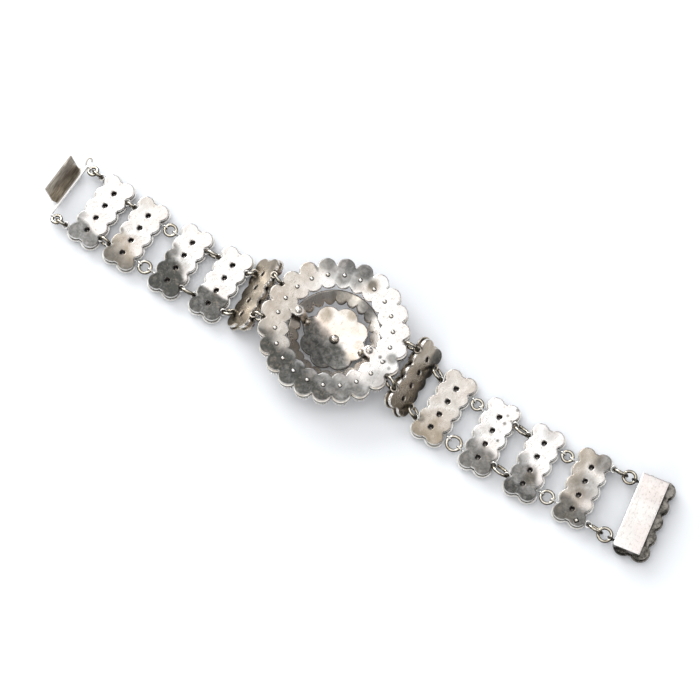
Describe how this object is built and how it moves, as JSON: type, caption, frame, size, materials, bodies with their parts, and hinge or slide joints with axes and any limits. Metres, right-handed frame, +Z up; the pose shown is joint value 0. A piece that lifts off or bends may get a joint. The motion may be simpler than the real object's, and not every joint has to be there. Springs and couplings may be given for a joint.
{
  "type": "garnet bracelet",
  "caption": "Open silver bracelet of scalloped garnet links on jump rings, with a tiered round medallion in the middle and a box clasp, lying face down with its backs up.",
  "frame": {"origin": "centre of the bracelet's box on the surface it lies on", "axes": "+X along the bracelet from the tongue to the box, +Z up, out of the silver backs"},
  "size_m": [0.1821, 0.0388, 0.0111],
  "materials": {
    "silver": "worn polished silver with warm tarnish",
    "warm_silver": "worn polished silver with a peach tint",
    "polished_silver": "polished",
    "spring_sheet": "brushed and tarnished",
    "gilt_wire": "rubbed gilt wire",
    "garnet": "cut and polished, very dark red"
  },
  "bodies": {
    "root": {"tongue": "spring_sheet", "link_l1": "silver", "link_l2": "silver", "link_l3": "silver", "link_l4": "silver", "link_l5": "silver", "link_r1": "silver", "link_r2": "silver", "link_r3": "silver", "link_r4": "silver", "link_r5": "silver", "clasp_box": "polished_silver", "outer_ring": "silver", "middle_ring": "warm_silver", "centre_cup": "warm_silver", "bridges": "warm_silver", "stones_l1": "garnet", "stones_l2": "garnet", "stones_l3": "garnet", "stones_l4": "garnet", "stones_l5": "garnet", "stones_r1": "garnet", "stones_r2": "garnet", "stones_r3": "garnet", "stones_r4": "garnet", "stones_r5": "garnet", "stones_box": "garnet", "stones_outer_ring": "garnet", "stones_middle_ring": "garnet", "stones_centre": "garnet", "ring_1a": "gilt_wire", "ring_1b": "gilt_wire", "ring_2a": "gilt_wire", "ring_2b": "gilt_wire", "ring_3a": "gilt_wire", "ring_3b": "gilt_wire", "ring_4a": "gilt_wire", "ring_4b": "gilt_wire", "ring_5a": "gilt_wire", "ring_5b": "gilt_wire", "ring_6a": "gilt_wire", "ring_6b": "gilt_wire", "ring_7a": "gilt_wire", "ring_7b": "gilt_wire", "ring_8a": "gilt_wire", "ring_8b": "gilt_wire", "ring_9a": "gilt_wire", "ring_9b": "gilt_wire", "ring_10a": "gilt_wire", "ring_10b": "gilt_wire", "ring_11a": "gilt_wire", "ring_11b": "gilt_wire", "ring_12a": "gilt_wire", "ring_12b": "gilt_wire"}
  },
  "joints": []
}
